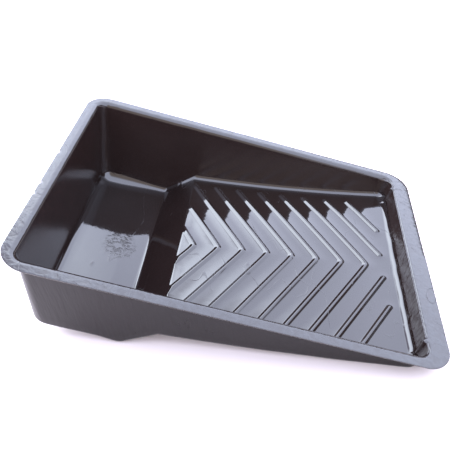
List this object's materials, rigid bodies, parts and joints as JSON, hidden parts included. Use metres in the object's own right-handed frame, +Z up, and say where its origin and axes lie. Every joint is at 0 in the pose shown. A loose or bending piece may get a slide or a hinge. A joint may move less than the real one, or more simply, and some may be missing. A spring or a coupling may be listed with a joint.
{
  "type": "paint roller tray",
  "caption": "Black thermoformed paint roller tray with a deep well, a slanted riser, a ramp with chevron ribs for rolling off paint, and a flat rim.",
  "frame": {"origin": "middle of the bounding box at the floor the tray stands on", "axes": "+X from the deep well to the shallow end, +Y across the width, +Z up; the tray is in the pose it stands in by itself, its rim sloping down towards +X"},
  "size_m": [0.3678, 0.29, 0.1139],
  "materials": {
    "black_plastic": "glossy black, as formed from sheet"
  },
  "bodies": {
    "root": {"tray": "black_plastic"}
  },
  "joints": []
}
